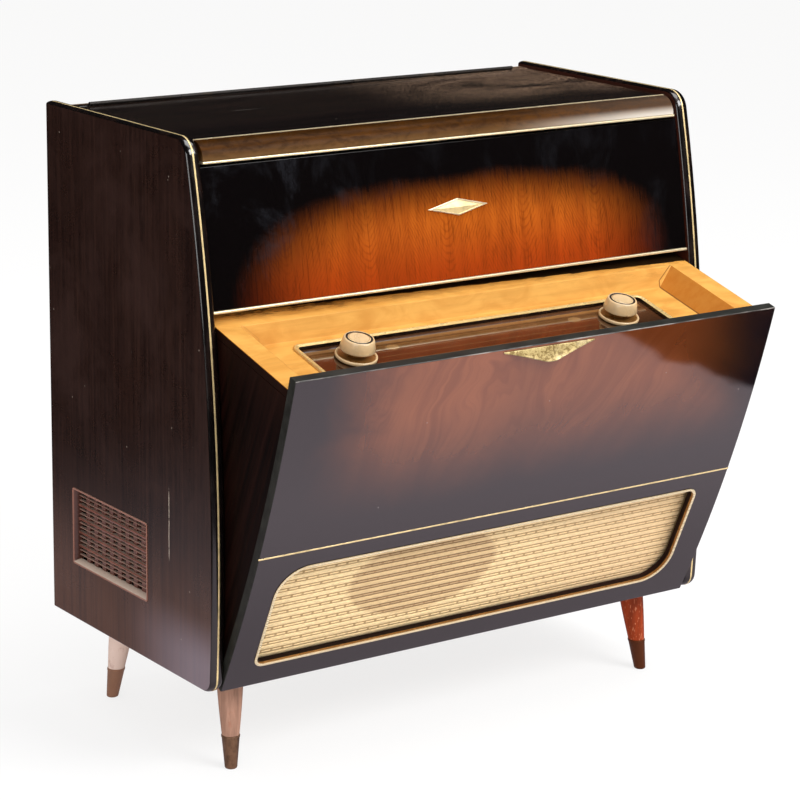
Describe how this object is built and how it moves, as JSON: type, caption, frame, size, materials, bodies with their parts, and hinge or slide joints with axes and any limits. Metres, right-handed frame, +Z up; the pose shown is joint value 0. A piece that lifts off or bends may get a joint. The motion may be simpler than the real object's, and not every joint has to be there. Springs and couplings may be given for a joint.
{
  "type": "radiogram cabinet",
  "caption": "Wooden music cabinet on splayed legs: a receiver with speaker grille tilts out of the lower front, a record changer lies under a hinged lid.",
  "frame": {"origin": "centre of the box round the part, with the receiver tilted open, at floor level", "axes": "+X to the right seen from the front, +Y to the back, +Z up"},
  "size_m": [0.8, 0.5814, 0.8236],
  "materials": {
    "brass": "polished",
    "brown_plastic": "moulded",
    "cream_enamel": "enamel",
    "dark_veneer": "satin varnish",
    "dial_glass": "dark printed",
    "dull_brass": "tarnished",
    "felt": "felt",
    "figured_veneer": "gloss varnish",
    "hardboard": "raw board",
    "ivory": "moulded",
    "leg_wood": "worn varnish",
    "maple": "satin varnish",
    "paper_cone": "paper and pressed metal, as one",
    "plain_board": "raw board",
    "rubber": "matt",
    "speaker_cloth": "woven",
    "steel": "plain"
  },
  "bodies": {
    "cabinet": {"back_panel": "hardboard", "bottom_board": "plain_board", "changer_motor": "steel", "changer_plate": "cream_enamel", "deck_board": "plain_board", "edge_inlay_left": "brass", "edge_inlay_right": "brass", "ferrule_front_left": "dull_brass", "ferrule_front_right": "dull_brass", "ferrule_rear_left": "dull_brass", "ferrule_rear_right": "dull_brass", "front_ornament": "brass", "front_trim": "brass", "leg_front_left": "leg_wood", "leg_front_right": "leg_wood", "leg_rear_left": "leg_wood", "leg_rear_right": "leg_wood", "lid_hinge_fixed_leaf": "brass", "lid_hinge_pin": "steel", "lid_rear_rail": "dark_veneer", "pivot_plate_left": "steel", "pivot_plate_right": "steel", "side_panel_left": "dark_veneer", "side_panel_right": "dark_veneer", "side_speaker_left": "paper_cone", "side_speaker_right": "paper_cone", "stop_strip": "felt", "upper_front_panel": "figured_veneer", "vent_grille_left": "brown_plastic", "vent_grille_right": "brown_plastic"},
    "receiver": {"baffle_board": "plain_board", "dial_bezel": "brass", "dial_glass": "dial_glass", "front_speaker": "paper_cone", "grille_bead": "brass", "grille_cloth": "speaker_cloth", "pull_handle": "brass", "receiver_chassis": "steel", "tilt_front_panel": "figured_veneer", "tilt_inlay": "brass", "tilt_stop_rail": "plain_board", "tilt_wall_left": "dark_veneer", "tilt_wall_right": "dark_veneer", "tray_frame": "maple"},
    "lid": {"lid_board": "dark_veneer", "lid_hinge_moving_leaf": "brass", "lid_nosing": "dark_veneer", "lid_trim_lower": "brass", "lid_trim_upper": "brass"},
    "platter": {"platter": "rubber"},
    "tone_arm": {"tone_arm": "cream_enamel"},
    "speed_lever": {"speed_lever": "ivory"},
    "volume_ring": {"volume_ring": "ivory"},
    "volume_knob": {"volume_knob": "ivory"},
    "tuning_ring": {"tuning_ring": "ivory"},
    "tuning_knob": {"tuning_knob": "ivory"},
    "band_key_1": {"band_key_1": "ivory"},
    "band_key_2": {"band_key_2": "ivory"},
    "band_key_3": {"band_key_3": "ivory"},
    "band_key_4": {"band_key_4": "ivory"}
  },
  "joints": [
    {"name": "receiver_tilt", "type": "hinge", "parent": "cabinet", "child": "receiver", "pos_m": [0, -0.08791, 0.1362], "axis": [1, 0, 0], "range_deg": [-23.3, 0]},
    {"name": "lid_hinge", "type": "hinge", "parent": "cabinet", "child": "lid", "pos_m": [0, 0.26494, 0.8194], "axis": [-1, 0, 0], "range_deg": [0, 70]},
    {"name": "platter_spin", "type": "hinge", "parent": "cabinet", "child": "platter", "pos_m": [-0.025, 0.10079, 0.7016], "axis": [0, 0, 1], "continuous": true},
    {"name": "tone_arm_swing", "type": "hinge", "parent": "cabinet", "child": "tone_arm", "pos_m": [0.14, 0.20869, 0.7296], "axis": [0, 0, -1], "range_deg": [0, 38]},
    {"name": "speed_lever_turn", "type": "hinge", "parent": "cabinet", "child": "speed_lever", "pos_m": [0.14, -0.01311, 0.6936], "axis": [0, 0, 1], "range_deg": [-30, 30]},
    {"name": "volume_ring_turn", "type": "hinge", "parent": "receiver", "child": "volume_ring", "pos_m": [-0.216, -0.16875, 0.54618], "axis": [0, -0.2544, 0.9671], "range_deg": [-135, 135]},
    {"name": "volume_knob_turn", "type": "hinge", "parent": "receiver", "child": "volume_knob", "pos_m": [-0.216, -0.16875, 0.54618], "axis": [0, -0.2544, 0.9671], "range_deg": [-140, 140]},
    {"name": "tuning_ring_turn", "type": "hinge", "parent": "receiver", "child": "tuning_ring", "pos_m": [0.205, -0.16875, 0.54618], "axis": [0, -0.2544, 0.9671], "range_deg": [-135, 135]},
    {"name": "tuning_knob_turn", "type": "hinge", "parent": "receiver", "child": "tuning_knob", "pos_m": [0.205, -0.16875, 0.54618], "axis": [0, -0.2544, 0.9671], "continuous": true},
    {"name": "band_key_1_press", "type": "slide", "parent": "receiver", "child": "band_key_1", "axis": [0, 0.2544, -0.9671], "range_m": [0, 0.005], "stiffness_N_per_m": 250, "springref_m": -0.002},
    {"name": "band_key_2_press", "type": "slide", "parent": "receiver", "child": "band_key_2", "axis": [0, 0.2544, -0.9671], "range_m": [0, 0.005], "stiffness_N_per_m": 250, "springref_m": -0.002},
    {"name": "band_key_3_press", "type": "slide", "parent": "receiver", "child": "band_key_3", "axis": [0, 0.2544, -0.9671], "range_m": [0, 0.005], "stiffness_N_per_m": 250, "springref_m": -0.002},
    {"name": "band_key_4_press", "type": "slide", "parent": "receiver", "child": "band_key_4", "axis": [0, 0.2544, -0.9671], "range_m": [0, 0.005], "stiffness_N_per_m": 250, "springref_m": -0.002}
  ]
}
